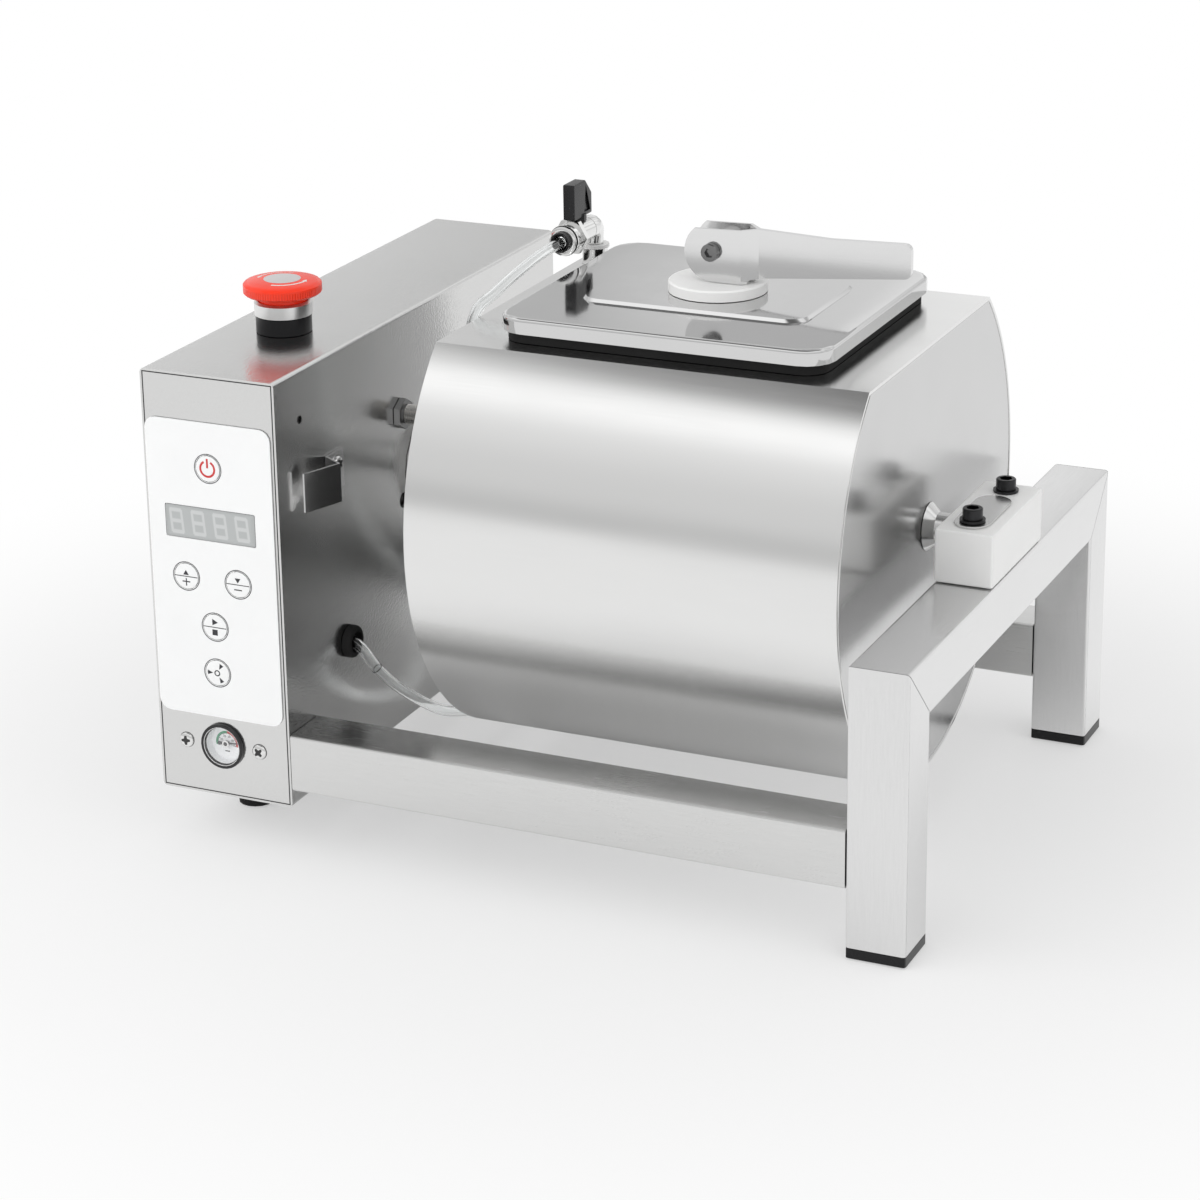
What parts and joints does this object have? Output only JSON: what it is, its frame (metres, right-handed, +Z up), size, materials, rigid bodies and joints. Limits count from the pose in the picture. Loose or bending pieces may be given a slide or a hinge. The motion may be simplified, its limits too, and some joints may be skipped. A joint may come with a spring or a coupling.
{
  "type": "meat vacuum tumbler",
  "caption": "Bench-top vacuum tumbler: control cabinet and tube frame carry a motor-driven drum with a flat, a cam-clamped lid, a ball valve and a vacuum hose.",
  "frame": {"origin": "centre of the base, on the surface the feet stand on", "axes": "+X along the drum's axis from the cabinet to the end frame, -Y to the front with the control panel, +Z up"},
  "size_m": [0.4, 0.32, 0.305],
  "materials": {
    "brushed_steel": "brushed",
    "polished_steel": "polished",
    "cast_steel": "satin",
    "white_film": "matte",
    "white_nylon": "satin",
    "white_dial": "matte",
    "grey_display": "gloss",
    "black_plastic": "satin",
    "black_rubber": "matte",
    "black_oxide": "satin",
    "red_plastic": "satin",
    "clear_plastic": "clear",
    "board": "satin",
    "motor_paint": "satin"
  },
  "bodies": {
    "cabinet": {"cabinet_shell": "brushed_steel", "cabinet_back_cover": "brushed_steel", "cabinet_base_plate": "brushed_steel", "foot_front": "black_rubber", "foot_back": "black_rubber", "power_inlet": "black_plastic", "control_panel": "white_film", "display_window": "grey_display", "control_board": "board", "gauge_case": "black_plastic", "gauge_dial": "white_dial", "estop_base_ring": "black_plastic", "estop_collar": "polished_steel", "estop_contact_block": "black_plastic", "hose_grommet": "black_rubber", "position_sensor": "cast_steel", "hose_clip": "brushed_steel", "gearmotor": "cast_steel", "wall_bearing": "white_nylon", "vacuum_pump": "motor_paint", "rail_front": "brushed_steel", "rail_back": "brushed_steel", "leg_front": "brushed_steel", "leg_back": "brushed_steel", "leg_cap_front": "black_plastic", "leg_cap_back": "black_plastic", "beam": "brushed_steel", "bearing_block": "white_nylon", "bearing_plate": "brushed_steel", "block_screw_front": "black_oxide", "block_screw_back": "black_oxide", "vacuum_hose": "clear_plastic"},
    "drum": {"drum_shell": "polished_steel", "drum_end_left": "polished_steel", "drum_end_right": "polished_steel", "drive_shaft": "polished_steel", "support_shaft": "polished_steel", "baffle_front": "brushed_steel", "baffle_back": "brushed_steel", "valve_bung": "polished_steel", "valve_washer": "white_nylon", "valve_elbow": "polished_steel", "valve_body": "polished_steel", "hose_fitting": "black_plastic"},
    "knob": {"valve_knob": "black_plastic"},
    "lid": {"lid_cover": "polished_steel", "lid_gasket": "black_rubber", "nylon_disc": "white_nylon"},
    "clamp_plate": {"pressure_plate": "brushed_steel"},
    "clamp_eye": {"clamp_stud": "polished_steel"},
    "lever": {"cam_lever": "polished_steel", "pivot_bolt": "polished_steel"},
    "stop_plunger": {"estop_stem": "black_plastic"},
    "stop_cap": {"estop_mushroom": "red_plastic"},
    "power_key": {"key_power": "white_film"},
    "up_key": {"key_up": "white_film"},
    "down_key": {"key_down": "white_film"},
    "start_key": {"key_start": "white_film"},
    "vacuum_key": {"key_vacuum": "white_film"},
    "needle": {"gauge_needle": "black_plastic"}
  },
  "joints": [
    {"name": "drum_spin", "type": "hinge", "parent": "cabinet", "child": "drum", "pos_m": [0, 0, 0.161], "axis": [1, 0, 0], "continuous": true, "deforming": ["vacuum_hose"]},
    {"name": "valve_turn", "type": "hinge", "parent": "drum", "child": "knob", "pos_m": [-0.062, 0.0575, 0.286], "axis": [0, 0, 1], "range_deg": [0, 90]},
    {"name": "lid_lift", "type": "slide", "parent": "drum", "child": "lid", "axis": [0, 0, 1], "range_m": [0, 0.08]},
    {"name": "clamp_drop", "type": "slide", "parent": "lid", "child": "clamp_plate", "axis": [0, 0, -1], "range_m": [0, 0.001]},
    {"name": "clamp_swivel", "type": "hinge", "parent": "clamp_plate", "child": "clamp_eye", "pos_m": [0.041, 0, 0.27], "axis": [0, 0, 1], "range_deg": [-35, 35]},
    {"name": "lever_open", "type": "hinge", "parent": "clamp_eye", "child": "lever", "pos_m": [0.041, 0, 0.2928], "axis": [0, -1, 0], "range_deg": [0, 100]},
    {"name": "stop_press", "type": "slide", "parent": "cabinet", "child": "stop_plunger", "axis": [0, 0, -1], "range_m": [0, 0.0028]},
    {"name": "stop_twist", "type": "hinge", "parent": "stop_plunger", "child": "stop_cap", "pos_m": [-0.166, -0.074, 0.27], "axis": [0, 0, -1], "range_deg": [0, 45], "stiffness_Nm_per_rad": 0.02},
    {"name": "power_press", "type": "slide", "parent": "cabinet", "child": "power_key", "axis": [0, 1, 0], "range_m": [0, 0.0004], "stiffness_N_per_m": 1500},
    {"name": "up_press", "type": "slide", "parent": "cabinet", "child": "up_key", "axis": [0, 1, 0], "range_m": [0, 0.0004], "stiffness_N_per_m": 1500},
    {"name": "down_press", "type": "slide", "parent": "cabinet", "child": "down_key", "axis": [0, 1, 0], "range_m": [0, 0.0004], "stiffness_N_per_m": 1500},
    {"name": "start_press", "type": "slide", "parent": "cabinet", "child": "start_key", "axis": [0, 1, 0], "range_m": [0, 0.0004], "stiffness_N_per_m": 1500},
    {"name": "vacuum_press", "type": "slide", "parent": "cabinet", "child": "vacuum_key", "axis": [0, 1, 0], "range_m": [0, 0.0004], "stiffness_N_per_m": 1500},
    {"name": "needle_swing", "type": "hinge", "parent": "cabinet", "child": "needle", "pos_m": [-0.1635, -0.1545, 0.0535], "axis": [0, -1, 0], "range_deg": [0, 175], "stiffness_Nm_per_rad": 0.0002}
  ],
  "couplings": [
    {"joint": "clamp_drop", "follows": "lever_open", "m_per_rad": 0.000572}
  ]
}
